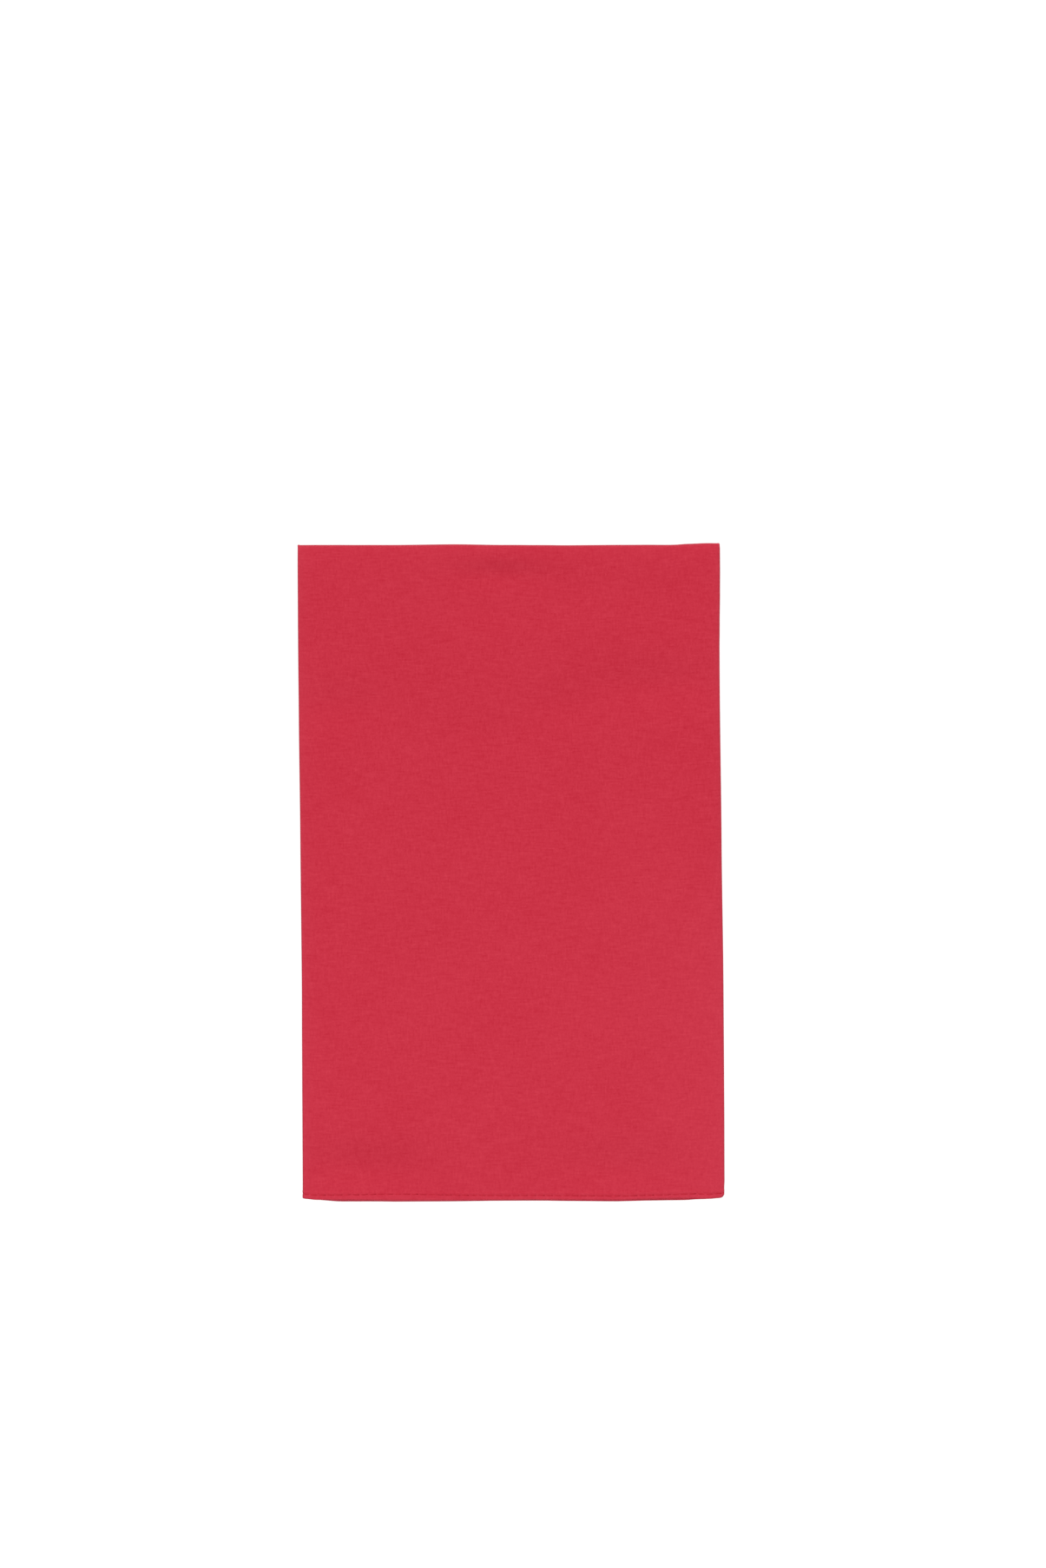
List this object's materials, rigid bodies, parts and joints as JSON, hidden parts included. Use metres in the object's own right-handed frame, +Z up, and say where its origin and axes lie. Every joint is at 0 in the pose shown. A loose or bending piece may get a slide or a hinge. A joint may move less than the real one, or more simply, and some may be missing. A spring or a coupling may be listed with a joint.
{
  "type": "folded furoshiki wrap",
  "caption": "Plain woven cotton wrapping cloth with narrow sewn hems, folded flat into an oblong packet with its clean side out and its hems at one end.",
  "frame": {"origin": "on the surface that the cloth rests on, under the middle of its outline", "axes": "+X across the folded cloth, from the tight side fold to the wide one; +Y along it, from the open hems to the half fold; +Z up, out of the upper face"},
  "size_m": [0.1458, 0.2264, 0.0082],
  "materials": {
    "cotton": "plain woven cotton, matt, dyed red"
  },
  "bodies": {
    "root": {"folded_cloth": "cotton"}
  },
  "joints": []
}
